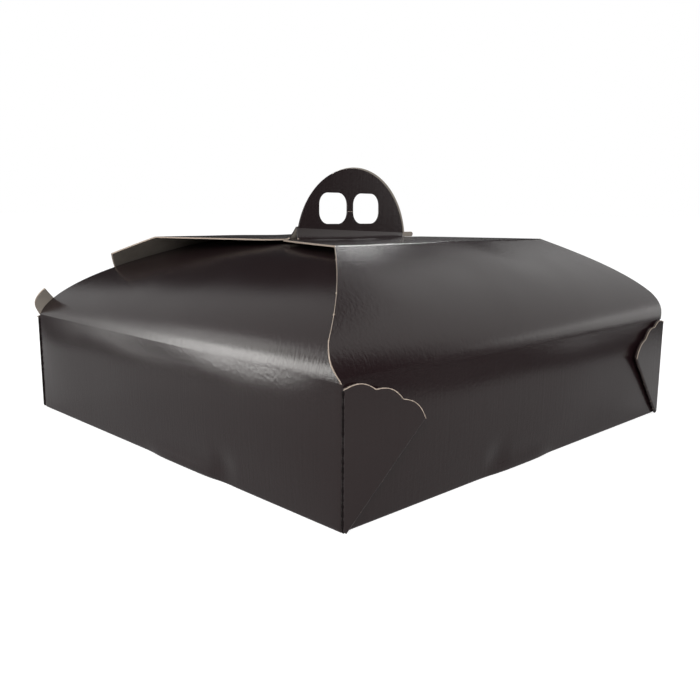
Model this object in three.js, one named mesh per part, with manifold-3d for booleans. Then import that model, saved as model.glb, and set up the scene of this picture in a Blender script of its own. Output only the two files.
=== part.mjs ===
// A carry-home cake box folded from one glossy brown board. The tray has gusseted corners with
// scalloped edges, four curved closing flaps, and a two-part grip with finger holes on top.
// Millimetres, +Z up, origin at the centre of the underside. The front flap hangs on the -Y wall.
import * as THREE from 'three';
import Module from 'manifold-3d';

const wasm = await Module();
wasm.setup();

// Driving dimensions in millimetres and degrees
const baseSide = 280;
const wallHeight = 61;
const board = 0.8;
const foldGap = 0.3;
const nestGap = 0.6;

// Rise of the carry flaps: the board leaves the wall nearly upright and leans in along its length
const carryStartLean = 8;
const carryEndLean = 68;
const carryBendLength = 25.5;
const carryFlapLength = 79.5;

// Side edge of a carry flap: a rounded ear at the corner, then a long diagonal to the top crease
const earReach = 3.5;
const earPeak = 8.5;
const earLength = 18;
const creaseHalfWidth = 89;
const diagonalHollow = 1.2;

// Top panel between the crease and the grip, flat up to its shoulder, then rising in a narrower neck
const neckRise = 5.1;
const neckDepth = 5;
const neckHalfWidth = 45.9;
const shoulderHalfWidth = 61;
const shoulderRound = 4;
const shoulderBow = 1.5;

// Grip: a round-topped plate on each carry flap, with two finger holes of rounded square shape
const gripHeight = 37.9;
const gripShift = 2.8;
const gripTilt = 2.6;
const gripClearance = 0.3;
const holeWidth = 23.2;
const holeHeight = 18.6;
const holeCornerRadius = 7;
const holePitch = 28.4;
const holeShift = -0.4;
const holeLift = 13.6;
const nickDepth = 1;
const nickAngle = 112;
const rearGripSwell = 0.8;
const rearGripShift = 3;
const rearHoleSwell = 0.5;
const rearHoleShift = 1.4;
const lockEarLength = 8.6;
const lockEarHeight = 3.2;

// Cut-outs on the rear flap's side edges, between its corner ears and its upper ears
const cutEarHeight = 16;
const cutEarTip = 1.8;
const cutEarRoot = 9.5;
const cutRootRise = 8.6;
const cutInset = 43;
const cutRise = 28.2;
const cutTopInset = 33;
const cutTopRise = 38;
const cutBowInset = 2;
const cutBowRise = 1.5;

// Side flaps tucked in under the carry flaps: steep at the front, flat at the rear
const tuckStartLeanFront = 10;
const tuckStartLeanRear = 36;
const tuckEndLean = 76;
const tuckBendLength = 33;
const tuckFlapLength = 112;
const panelSeat = 1.2;
const panelSettle = 5;

// Corner gussets: the folded square between two walls, its rim cut in three scallops
const gussetRadius = 58.8;
const scallopDepth = 1.7;
const scallops = 3;
const gussetLiftLeft = 9;
const gussetLiftRight = 5.5;

// Fineness of the curved surfaces
const arcRows = 30;
const panelRows = 10;
const neckRows = 6;
const tuckRows = 26;
const tuckColumns = 10;
const curveSteps = 10;

const half = baseSide / 2;
const hingeHeight = wallHeight + foldGap;
const toRadians = THREE.MathUtils.degToRad;

const outsideBoard = new THREE.MeshStandardMaterial({ color: 0x3a3433, roughness: 0.32, metalness: 0 });

/** Makes a manifold solid from any closed geometry, with its faces turned outward. */
function solid(geometry) {
  const flat = geometry.index ? geometry.toNonIndexed() : geometry;
  const positions = flat.getAttribute('position').array;
  const verts = [];
  const tris = [];
  const seen = new Map();
  for (let i = 0; i < positions.length; i += 3) {
    const point = [positions[i], positions[i + 1], positions[i + 2]];
    const key = point.map((value) => Math.round(value * 2e4)).join(',');
    if (!seen.has(key)) {
      seen.set(key, verts.length / 3);
      verts.push(...point);
    }
    tris.push(seen.get(key));
  }
  const kept = [];
  for (let i = 0; i < tris.length; i += 3) {
    const [a, b, c] = [tris[i], tris[i + 1], tris[i + 2]];
    if (a !== b && b !== c && c !== a) kept.push(a, b, c);
  }
  if (signedVolume(verts, kept) < 0) {
    for (let i = 0; i < kept.length; i += 3) [kept[i], kept[i + 1]] = [kept[i + 1], kept[i]];
  }
  const mesh = new wasm.Mesh({
    numProp: 3,
    vertProperties: new Float32Array(verts),
    triVerts: new Uint32Array(kept),
  });
  return new wasm.Manifold(mesh);
}

/** Signed volume of a triangle list, positive when the faces point outward. */
function signedVolume(verts, tris) {
  const corner = (index) => new THREE.Vector3(verts[3 * index], verts[3 * index + 1], verts[3 * index + 2]);
  let total = 0;
  for (let i = 0; i < tris.length; i += 3) {
    total += corner(tris[i]).dot(corner(tris[i + 1]).cross(corner(tris[i + 2]))) / 6;
  }
  return total;
}

/** Turns a manifold solid back into a geometry for a mesh. */
function toGeometry(body) {
  const mesh = body.getMesh();
  const positions = new Float32Array(mesh.numVert * 3);
  for (let i = 0; i < mesh.numVert; i += 1) {
    for (let k = 0; k < 3; k += 1) positions[3 * i + k] = mesh.vertProperties[i * mesh.numProp + k];
  }
  const geometry = new THREE.BufferGeometry();
  geometry.setAttribute('position', new THREE.BufferAttribute(positions, 3));
  geometry.setIndex(new THREE.BufferAttribute(new Uint32Array(mesh.triVerts), 1));
  geometry.computeVertexNormals();
  return geometry;
}

/** A bent sheet of board: a grid of outer points, the same grid one board further in, closed rims. */
function sheet(outer, inner) {
  const rows = outer.length;
  const columns = outer[0].length;
  const positions = [];
  const quad = (a, b, c, d) => {
    for (const point of [a, b, c, a, c, d]) positions.push(point.x, point.y, point.z);
  };
  for (let i = 0; i < rows - 1; i += 1) {
    for (let j = 0; j < columns - 1; j += 1) {
      quad(outer[i][j], outer[i][j + 1], outer[i + 1][j + 1], outer[i + 1][j]);
      quad(inner[i][j], inner[i + 1][j], inner[i + 1][j + 1], inner[i][j + 1]);
    }
    quad(outer[i][0], outer[i + 1][0], inner[i + 1][0], inner[i][0]);
    quad(outer[i + 1][columns - 1], outer[i][columns - 1], inner[i][columns - 1], inner[i + 1][columns - 1]);
  }
  for (let j = 0; j < columns - 1; j += 1) {
    quad(outer[0][j + 1], outer[0][j], inner[0][j], inner[0][j + 1]);
    quad(outer[rows - 1][j], outer[rows - 1][j + 1], inner[rows - 1][j + 1], inner[rows - 1][j]);
  }
  const geometry = new THREE.BufferGeometry();
  geometry.setAttribute('position', new THREE.Float32BufferAttribute(positions, 3));
  return solid(geometry);
}

/** Walks up a flap whose lean follows an exponential settling from its start to its end angle. */
function leaningProfile(length, startLean, endLean, bendLength, rows) {
  const fine = 12;
  const points = [{ run: 0, inset: 0, rise: 0, lean: toRadians(startLean) }];
  const step = length / (rows * fine);
  let inset = 0;
  let rise = 0;
  for (let i = 1; i <= rows * fine; i += 1) {
    const middle = (i - 0.5) * step;
    const lean = toRadians(endLean - (endLean - startLean) * Math.exp(-middle / bendLength));
    inset += Math.sin(lean) * step;
    rise += Math.cos(lean) * step;
    if (i % fine === 0) points.push({ run: i * step, inset, rise, lean });
  }
  return points;
}

/** Straight-line reading between the points of a profile. */
function readAcross(points, fromKey, toKey, value) {
  for (let i = 1; i < points.length; i += 1) {
    const low = points[i - 1];
    const high = points[i];
    if (value <= high[fromKey]) {
      const share = (value - low[fromKey]) / (high[fromKey] - low[fromKey]);
      return low[toKey] + share * (high[toKey] - low[toKey]);
    }
  }
  return points[points.length - 1][toKey];
}

const carryArc = leaningProfile(carryFlapLength, carryStartLean, carryEndLean, carryBendLength, arcRows);
const creaseInset = carryArc[arcRows].inset;
const creaseHeight = hingeHeight + carryArc[arcRows].rise;
const panelRun = half - creaseInset - gripClearance - board / 2;
const shoulderRun = panelRun - neckDepth;

/** Half-width of a carry flap at a distance up from its fold. */
function carryHalfWidth(run) {
  if (run <= earLength) {
    const place = run < earPeak ? run / earPeak / 2 : 0.5 + (run - earPeak) / (earLength - earPeak) / 2;
    return half + earReach * Math.sin(Math.PI * place);
  }
  const share = (run - earLength) / (carryFlapLength - earLength);
  const hollow = diagonalHollow * Math.sin(Math.PI * share);
  return half - hollow - share * (half - creaseHalfWidth);
}

/** Half-width of the flat top panel at a run from the crease: a bowed edge, then a rounded shoulder. */
function panelHalfWidth(run) {
  const middleWidth = (creaseHalfWidth + shoulderHalfWidth) / 2 + shoulderBow;
  const edge = new THREE.QuadraticBezierCurve(
    new THREE.Vector2(0, creaseHalfWidth),
    new THREE.Vector2(0.5, middleWidth),
    new THREE.Vector2(1, shoulderHalfWidth),
  );
  const roundStart = shoulderRun - shoulderRound;
  if (run <= roundStart) return edge.getPoint(run / roundStart).y;
  const turned = (run - roundStart) / shoulderRound;
  return neckHalfWidth + (shoulderHalfWidth - neckHalfWidth) * Math.sqrt(1 - turned * turned);
}

/** Stations of a carry flap's outer face, from the fold over the crease to the foot of the grip. */
function carryStations() {
  const stations = carryArc.map((point) => ({
    y: -half + point.inset,
    z: hingeHeight + point.rise,
    width: carryHalfWidth(point.run),
    tilt: 0,
  }));
  const panelStart = -half + creaseInset;
  const roundStart = shoulderRun - shoulderRound;
  const runs = [];
  for (let i = 1; i <= panelRows; i += 1) runs.push((roundStart * i) / panelRows);
  for (let i = 1; i <= neckRows; i += 1) {
    runs.push(roundStart + shoulderRound * Math.sin((Math.PI / 2) * (i / neckRows)));
  }
  for (const run of runs) {
    stations.push({ y: panelStart + run, z: creaseHeight, width: panelHalfWidth(run), tilt: 0 });
  }
  for (let i = 1; i <= neckRows; i += 1) {
    const risen = (i / neckRows) ** 2;
    stations.push({
      y: panelStart + shoulderRun + (neckDepth * i) / neckRows,
      z: creaseHeight + neckRise * risen,
      width: neckHalfWidth,
      tilt: neckHalfWidth * Math.tan(toRadians(gripTilt)) * risen,
    });
  }
  return stations;
}

/** Mitred inward offset of a station, so that the board keeps its thickness round the folds. */
function offsetStation(stations, index) {
  const before = stations[Math.max(index - 1, 0)];
  const here = stations[index];
  const after = stations[Math.min(index + 1, stations.length - 1)];
  const normals = [[before, here], [here, after]]
    .filter(([low, high]) => low !== high)
    .map(([low, high]) => new THREE.Vector2(high.z - low.z, -(high.y - low.y)).normalize());
  const mitre = normals[0].clone().add(normals[normals.length - 1]).normalize();
  const reach = board / mitre.dot(normals[0]);
  return { y: here.y + mitre.x * reach, z: here.z + mitre.y * reach };
}

/** The folded board of a carry flap, without its grip plate. */
function carryBoard() {
  const stations = carryStations();
  const row = (y, z, { width, tilt }) => [
    new THREE.Vector3(gripShiftAt(tilt) - width, y, z + tilt),
    new THREE.Vector3(gripShiftAt(tilt) + width, y, z - tilt),
  ];
  const outer = stations.map((station) => row(station.y, station.z, station));
  const inner = stations.map((station, index) => {
    const point = offsetStation(stations, index);
    const floor = index === 0 ? hingeHeight : point.z;
    return row(point.y, floor, station);
  });
  return sheet(outer, inner);
}

/** Sideways shift of a station, which grows with its tilt to the grip's own shift. */
function gripShiftAt(tilt) {
  return (gripShift * tilt) / (neckHalfWidth * Math.tan(toRadians(gripTilt)));
}

/** Outline of a grip plate in the X-Z plane: a circular segment on a foot that slopes with the neck. */
function gripOutline(swell, shift, withLockEar) {
  const foot = creaseHeight + neckRise - board;
  const slope = neckHalfWidth * Math.tan(toRadians(gripTilt));
  const rise = gripHeight + swell;
  const radius = (neckHalfWidth ** 2 + rise ** 2) / (2 * rise);
  const centre = foot + rise - radius;
  const middle = gripShift + shift;
  const startAngle = Math.asin((foot - slope - centre) / radius);
  const endAngle = Math.PI - Math.asin((foot + slope - centre) / radius);
  const rightEnd = middle + radius * Math.cos(startAngle);
  const shape = new THREE.Shape();
  if (withLockEar) {
    const earTop = foot - slope + board;
    const earRound = lockEarHeight / 2;
    const earMiddle = rightEnd + lockEarLength - earRound;
    shape.moveTo(rightEnd - lockEarLength, earTop - lockEarHeight);
    shape.lineTo(earMiddle, earTop - lockEarHeight);
    shape.absarc(earMiddle, earTop - earRound, earRound, -Math.PI / 2, Math.PI / 2);
    shape.lineTo(rightEnd, earTop);
  } else {
    shape.moveTo(rightEnd, foot - slope);
  }
  const nickHalf = nickDepth / radius;
  const nick = toRadians(nickAngle);
  const firstAngle = withLockEar ? Math.asin((foot - slope + board - centre) / radius) : startAngle;
  shape.absarc(middle, centre, radius, firstAngle, nick - nickHalf);
  shape.lineTo(middle + (radius - nickDepth) * Math.cos(nick), centre + (radius - nickDepth) * Math.sin(nick));
  shape.absarc(middle, centre, radius, nick + nickHalf, endAngle);
  return shape;
}

/** A finger hole: a square with widely rounded corners. */
function fingerHole(x, z, swell) {
  const corner = holeCornerRadius + swell;
  const across = holeWidth / 2 + swell - corner;
  const up = holeHeight / 2 + swell - corner;
  const hole = new THREE.Path();
  hole.absarc(x + across, z + up, corner, 0, Math.PI / 2);
  hole.absarc(x - across, z + up, corner, Math.PI / 2, Math.PI);
  hole.absarc(x - across, z - up, corner, Math.PI, 1.5 * Math.PI);
  hole.absarc(x + across, z - up, corner, 1.5 * Math.PI, 2 * Math.PI);
  hole.closePath();
  return hole;
}

/** A grip plate standing on the front side of the middle plane. */
function gripPlate({ swell, shift, holeSwell, holeOffset, withLockEar }) {
  const shape = gripOutline(swell, shift, withLockEar);
  const level = creaseHeight + neckRise + holeLift - board;
  for (const side of [-1, 1]) {
    shape.holes.push(fingerHole(holeShift + holeOffset + side * holePitch / 2, level, holeSwell));
  }
  const geometry = new THREE.ExtrudeGeometry(shape, {
    depth: board,
    bevelEnabled: false,
    curveSegments: curveSteps * 3,
  });
  geometry.rotateX(Math.PI / 2);
  geometry.translate(0, -gripClearance, 0);
  return solid(geometry);
}

/** The two punches that cut a rear flap's side edges back between its ears. */
function sideEdgePunches() {
  const reach = 2 * earReach + cutEarRoot;
  const punch = (side) => {
    const point = (inset, rise) => new THREE.Vector2(side * (half - inset), hingeHeight + rise);
    const tip = point(cutEarTip, cutEarHeight);
    const shape = new THREE.Shape();
    shape.moveTo(...point(-reach, cutEarHeight + reach).toArray());
    shape.lineTo(...tip.toArray());
    shape.lineTo(...point(cutEarRoot, cutRootRise).toArray());
    const bow = point((cutEarRoot + cutInset) / 2 + cutBowInset, (cutRootRise + cutRise) / 2 + cutBowRise);
    shape.quadraticCurveTo(bow.x, bow.y, ...point(cutInset, cutRise).toArray());
    shape.lineTo(...point(cutTopInset, cutTopRise).toArray());
    shape.lineTo(...point(cutTopInset - reach, cutTopRise + reach).toArray());
    const geometry = new THREE.ExtrudeGeometry(shape, {
      depth: half,
      bevelEnabled: false,
      curveSegments: curveSteps,
    });
    geometry.rotateX(Math.PI / 2);
    return solid(geometry);
  };
  return punch(-1).add(punch(1));
}

/** A carry flap: the folded board with its grip plate, hung on the front wall. */
function frontFlap() {
  const grip = gripPlate({ swell: 0, shift: 0, holeSwell: 0, holeOffset: 0, withLockEar: false });
  return carryBoard().add(grip);
}

/** The opposite carry flap, mirrored to the rear wall, with its cut-outs and its locking ear. */
function rearFlap() {
  const cutBoard = carryBoard().subtract(sideEdgePunches());
  const grip = gripPlate({
    swell: rearGripSwell,
    shift: rearGripShift,
    holeSwell: rearHoleSwell,
    holeOffset: rearHoleShift,
    withLockEar: true,
  });
  const flap = cutBoard.add(grip);
  const geometry = toGeometry(flap);
  geometry.scale(1, -1, 1);
  return solid(geometry);
}

const nestDepth = board + nestGap;
const nestArc = carryArc.map(({ inset, rise, lean }) => ({
  inset: inset + nestDepth * Math.cos(lean),
  rise: rise - nestDepth * Math.sin(lean),
}));

/** Inset from the wall at which a board still passes under a carry flap, at a height above the base. */
function nestInsetAt(height) {
  return readAcross(nestArc, 'rise', 'inset', Math.max(height - hingeHeight, nestArc[0].rise));
}

/** A height that rises freely, then settles smoothly under a ceiling. */
function settleUnder(height, ceiling) {
  const over = height - (ceiling - panelSettle);
  return over > 0 ? ceiling - panelSettle * Math.exp(-over / panelSettle) : height;
}

/** A side flap on the -X wall, tucked in under the carry flaps and twisted flatter to the rear. */
function tuckFlap() {
  const ceiling = creaseHeight - board - panelSeat;
  const stretch = (startLean) =>
    leaningProfile(tuckFlapLength, startLean, tuckEndLean, tuckBendLength, tuckRows);
  const profiles = [];
  for (let j = 0; j <= tuckColumns; j += 1) {
    const share = j / tuckColumns;
    profiles.push(stretch(THREE.MathUtils.lerp(tuckStartLeanFront, tuckStartLeanRear, share)));
  }
  const height = (i, j) => settleUnder(wallHeight + profiles[j][i].rise, ceiling);
  const point = (i, j) => {
    const edgeInset = (column) => nestInsetAt(height(i, column));
    const front = -half + edgeInset(0);
    const rear = half - edgeInset(tuckColumns);
    return new THREE.Vector3(
      -half + profiles[j][i].inset,
      THREE.MathUtils.lerp(front, rear, j / tuckColumns),
      height(i, j),
    );
  };
  const outer = profiles[0].map((_, i) => profiles.map((_, j) => point(i, j)));
  const inner = outer.map((row, i) => row.map((here, j) => {
    const along = outer[Math.min(i + 1, tuckRows)][j].clone().sub(outer[Math.max(i - 1, 0)][j]);
    const across = outer[i][Math.min(j + 1, tuckColumns)].clone().sub(outer[i][Math.max(j - 1, 0)]);
    const inward = along.cross(across).normalize();
    if (inward.x < 0) inward.negate();
    return here.clone().addScaledVector(inward, board);
  }));
  for (const grid of [outer, inner]) {
    grid.unshift(grid[0].map((point) => new THREE.Vector3(point.x, point.y, wallHeight - 2 * board)));
  }
  return sheet(outer, inner);
}

/** A corner gusset: the corner square folded double, hinged on the corner and lifted off the wall. */
function gusset(lift) {
  const rim = (share) => {
    const angle = Math.PI / 2 - share * Math.PI / 4;
    const radius = gussetRadius + scallopDepth * Math.abs(Math.sin(share * scallops * Math.PI)) - scallopDepth / 2;
    return new THREE.Vector2(radius * Math.cos(angle), radius * Math.sin(angle));
  };
  const shape = new THREE.Shape();
  shape.moveTo(0, 0);
  for (let i = scallops * curveSteps; i >= 0; i -= 1) {
    const point = rim(i / (scallops * curveSteps));
    shape.lineTo(point.x, point.y);
  }
  const geometry = new THREE.ExtrudeGeometry(shape, { depth: 2 * board, bevelEnabled: false });
  geometry.rotateX(Math.PI / 2);
  geometry.rotateZ(-toRadians(lift));
  return geometry;
}

/** One wall with the straight panel of the tray between two corners. */
function wall() {
  const geometry = new THREE.BoxGeometry(baseSide, board, wallHeight);
  geometry.translate(0, -half + board / 2, wallHeight / 2);
  return geometry;
}

/** The tray: base, four walls, the four gussets on the front and rear walls, and the side flaps. */
function tray() {
  const base = new THREE.BoxGeometry(baseSide, baseSide, board);
  base.translate(0, 0, board / 2);
  let body = solid(base);
  for (let turn = 0; turn < 4; turn += 1) {
    body = body.add(solid(wall().rotateZ(turn * Math.PI / 2)));
  }
  const seat = board / 2;
  for (const [lift, side] of [[gussetLiftLeft, 1], [gussetLiftRight, -1]]) {
    for (const end of [0, Math.PI]) {
      const piece = gusset(lift);
      piece.translate(-half, -half + seat, 0);
      piece.scale(side, 1, 1);
      piece.rotateZ(end);
      body = body.add(solid(piece));
    }
  }
  const left = tuckFlap();
  const right = solid(toGeometry(left).scale(-1, 1, 1));
  return body.add(left).add(right);
}

/** A named mesh of one closed body. */
function part(name, body) {
  const mesh = new THREE.Mesh(toGeometry(body), outsideBoard);
  mesh.name = name;
  return mesh;
}

const cakeBox = new THREE.Group();
cakeBox.name = 'cake_box';
cakeBox.add(part('tray', tray()));
cakeBox.add(part('front_flap', frontFlap()));
cakeBox.add(part('rear_flap', rearFlap()));

export default cakeBox;
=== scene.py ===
"""Dresses the folded cake box: glossy brown board outside, bare greige board inside, pale cut edges."""
import logging
import math
from dataclasses import dataclass, field
from enum import IntEnum
from typing import Sequence

import bmesh
import bpy
from bpy.types import Material, Mesh, Node, NodeSocket, Object
from mathutils import Matrix, Vector, noise

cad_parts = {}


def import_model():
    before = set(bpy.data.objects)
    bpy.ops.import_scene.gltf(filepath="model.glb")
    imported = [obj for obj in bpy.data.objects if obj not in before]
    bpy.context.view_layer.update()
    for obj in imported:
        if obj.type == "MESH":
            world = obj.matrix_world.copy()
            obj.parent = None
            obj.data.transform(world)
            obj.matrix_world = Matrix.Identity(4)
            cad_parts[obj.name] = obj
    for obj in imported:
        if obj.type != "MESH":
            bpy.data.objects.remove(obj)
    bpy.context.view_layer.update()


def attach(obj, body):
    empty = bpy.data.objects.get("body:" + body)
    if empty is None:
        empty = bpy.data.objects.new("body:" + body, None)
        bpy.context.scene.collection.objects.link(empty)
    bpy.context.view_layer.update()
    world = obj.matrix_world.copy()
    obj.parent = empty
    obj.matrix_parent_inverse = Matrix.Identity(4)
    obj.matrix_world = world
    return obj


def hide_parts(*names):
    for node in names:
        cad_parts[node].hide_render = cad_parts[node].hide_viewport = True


LOG = logging.getLogger("cake_box")
MM = 0.001

Pair = tuple[float, float]
Triple = tuple[float, float, float]


class Face(IntEnum):
    """The three looks of a piece of board, in the order of its material slots."""

    OUTSIDE = 0
    INSIDE = 1
    CUT = 2


@dataclass(frozen=True)
class Sizes:
    """The box's driving sizes in millimetres and degrees, mostly as in the solids."""

    base: float = 280.0
    wall: float = 61.0
    board: float = 0.8
    fold_gap: float = 0.3
    fold_seat: float = 0.05
    carry_start_lean: float = 8.0
    carry_end_lean: float = 68.0
    carry_bend: float = 25.5
    carry_length: float = 79.5
    carry_flutter: float = 1.6
    ear_reach: float = 3.5
    ear_peak: float = 8.5
    ear_length: float = 18.0
    crease_half_width: float = 89.0
    diagonal_hollow: float = 1.2
    neck_rise: float = 5.1
    neck_depth: float = 5.0
    neck_half_width: float = 45.9
    shoulder_half_width: float = 61.0
    shoulder_round: float = 4.0
    shoulder_bow: float = 1.5
    grip_height: float = 37.9
    grip_shift: float = 2.8
    grip_tilt: float = 2.6
    grip_clearance: float = 0.3
    hole_width: float = 23.2
    hole_height: float = 18.6
    hole_corner: float = 7.0
    hole_pitch: float = 28.4
    hole_shift: float = -0.4
    hole_lift: float = 13.6
    nick_depth: float = 1.0
    nick_angle: float = 112.0
    rear_grip_swell: float = 0.8
    rear_grip_shift: float = 3.0
    rear_hole_swell: float = 0.5
    rear_hole_shift: float = 1.4
    lock_ear_length: float = 8.6
    lock_ear_height: float = 3.2
    cut_ear_height: float = 16.0
    cut_ear_tip: float = 1.8
    cut_ear_root: float = 9.5
    cut_root_rise: float = 8.6
    cut_inset: float = 43.0
    cut_rise: float = 28.2
    cut_top_inset: float = 33.0
    cut_top_rise: float = 38.0
    cut_bow_inset: float = 2.0
    cut_bow_rise: float = 1.5
    tuck_start_front: float = 10.0
    tuck_start_rear: float = 36.0
    tuck_end: float = 76.0
    tuck_bend: float = 33.0
    tuck_length: float = 112.0
    tuck_belly: float = 0.6
    tuck_flutter: float = 1.2
    nest_gap: float = 0.6
    panel_seat: float = 1.2
    panel_settle: float = 5.0
    gusset_radius: float = 60.4
    scallop_depth: float = 1.7
    scallops: int = 3
    lift_left: float = 7.6
    lift_right: float = 5.5
    bar_crease_height: float = 126.8
    fold_ease: float = 4.0
    fold_dip: float = 0.55

    @property
    def half(self) -> float:
        """Half the base side."""
        return self.base / 2

    @property
    def fold_height(self) -> float:
        """Height of the fold of a carry flap."""
        return self.wall + self.fold_gap

    @property
    def grip_slope(self) -> float:
        """Rise of the grip's foot from its middle to its left end."""
        return self.neck_half_width * math.tan(math.radians(self.grip_tilt))


SIZES = Sizes()


@dataclass(frozen=True)
class LeanPoint:
    """A point of a flap's profile: run along the board, inset from the wall, rise, and lean."""

    run: float
    inset: float
    rise: float
    lean: float


def leaning_profile(
    length: float, start: float, end: float, bend: float, rows: int, dip: float = 0.0
) -> list[LeanPoint]:
    """Walks up a flap whose lean settles exponentially, after a soft bend out of its wall.

    Args:
        length: Length of board walked, in millimetres.
        start: Lean from upright at the fold, in degrees.
        end: Lean that the flap settles to, in degrees.
        bend: Length over which most of the bend happens.
        rows: Number of steps kept.
        dip: Share of the lean that is only reached a few millimetres past the fold.

    Returns:
        rows + 1 points, the first at the fold.
    """
    fine = 8
    step = length / (rows * fine)
    inset = rise = 0.0
    points = [LeanPoint(0.0, 0.0, 0.0, math.radians(start))]
    for i in range(1, rows * fine + 1):
        run = (i - 0.5) * step
        eased = 1 - dip * math.exp(-run / SIZES.fold_ease)
        lean = math.radians(end - (end - start) * math.exp(-run / bend)) * eased
        inset += math.sin(lean) * step
        rise += math.cos(lean) * step
        if i % fine == 0:
            points.append(LeanPoint(i * step, inset, rise, lean))
    return points


def carry_profile(rows: int) -> list[LeanPoint]:
    """The profile of a carry flap's curved panel."""
    s = SIZES
    return leaning_profile(s.carry_length, s.carry_start_lean, s.carry_end_lean, s.carry_bend, rows)


def soft_curve(start: float, pull: float, end: float, t: float) -> float:
    """A number at a share t of the way from start to end, drawn towards pull in between."""
    u = 1 - t
    return u * u * start + 2 * u * t * pull + t * t * end


def wear_near(distance: float, reach: float) -> float:
    """Wear of the laminate at a distance from a fold, 1 on the fold and 0 past its reach."""
    return max(0.0, 1.0 - abs(distance) / reach)


def store_wear(data: Mesh, wear: Sequence[float]) -> None:
    """Keeps the wear of each point of a mesh as an attribute."""
    data.attributes.new("wear", "FLOAT", "POINT").data.foreach_set("value", wear)


def add_object(name: str, data: object) -> Object:
    """Makes an object of the data and links it to the scene."""
    made = bpy.data.objects.new(name, data)
    bpy.context.scene.collection.objects.link(made)
    return made


def mesh_object(name: str, points: Sequence[Vector], edges: Sequence, faces: Sequence) -> Object:
    """Makes a mesh object from points in millimetres, with its edges and faces."""
    data = bpy.data.meshes.new(name)
    data.from_pydata([point * MM for point in points], edges, faces)
    return add_object(name, data)


def line_object(name: str, lines: Sequence[Sequence[Vector]]) -> Object:
    """Makes an object of lines.

    Args:
        name: Name of the object.
        lines: Lines, each a list of points in millimetres.

    Returns:
        The object.
    """
    points: list[Vector] = []
    edges: list[tuple[int, int]] = []
    for line in lines:
        edges.extend((i, i + 1) for i in range(len(points), len(points) + len(line) - 1))
        points.extend(line)
    return mesh_object(name, points, edges, [])


def evaluated_mesh(source: Object) -> Mesh:
    """A new mesh of an object with its modifiers worked in."""
    bpy.context.view_layer.update()
    return bpy.data.meshes.new_from_object(source.evaluated_get(bpy.context.evaluated_depsgraph_get()))


def remove_helper(helper: Object) -> None:
    """Deletes a helper object with its mesh."""
    data = helper.data
    bpy.data.objects.remove(helper)
    bpy.data.meshes.remove(data)


def join_pieces(name: str, pieces: Sequence[Object]) -> Object:
    """Joins pieces into one object.

    Args:
        name: Name of the joined piece.
        pieces: The pieces, of which the first is kept.

    Returns:
        The joined piece.
    """
    bpy.ops.object.select_all(action="DESELECT")
    for piece in pieces:
        piece.select_set(True)
    bpy.context.view_layer.objects.active = pieces[0]
    bpy.ops.object.join()
    joined = bpy.context.view_layer.objects.active
    joined.name = name
    joined.data.name = name
    return joined


def set_materials(data: Mesh, *materials: Material) -> None:
    """Gives a mesh these material slots and no others."""
    data.materials.clear()
    for material in materials:
        data.materials.append(material)


def arc_points(x: float, z: float, radius: float, first: float, last: float, steps: int) -> list[Pair]:
    """Points on the arc round (x, z) from one angle to another, in radians."""
    angles = [first + (last - first) * i / steps for i in range(steps + 1)]
    return [(x + radius * math.cos(angle), z + radius * math.sin(angle)) for angle in angles]


def paint_over_cut(data: Mesh, above: float = -1.0) -> None:
    """Gives cut faces above a height in metres, or all of them, the outside of the board."""
    for polygon in data.polygons:
        if polygon.material_index == Face.CUT and polygon.center.z > above:
            polygon.material_index = Face.OUTSIDE


@dataclass
class Rail:
    """One edge of a ruled sheet of board: its points and how worn the laminate is at each."""

    points: list[Vector] = field(default_factory=list)
    wear: list[float] = field(default_factory=list)

    def add(self, point: Vector, wear: float = 0.0) -> None:
        """Adds a point with its wear."""
        self.points.append(point)
        self.wear.append(wear)

    def mesh(self, name: str) -> Object:
        """Makes the rail a line that the board tree can read."""
        helper = line_object(name, [self.points])
        store_wear(helper.data, self.wear)
        return helper


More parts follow.
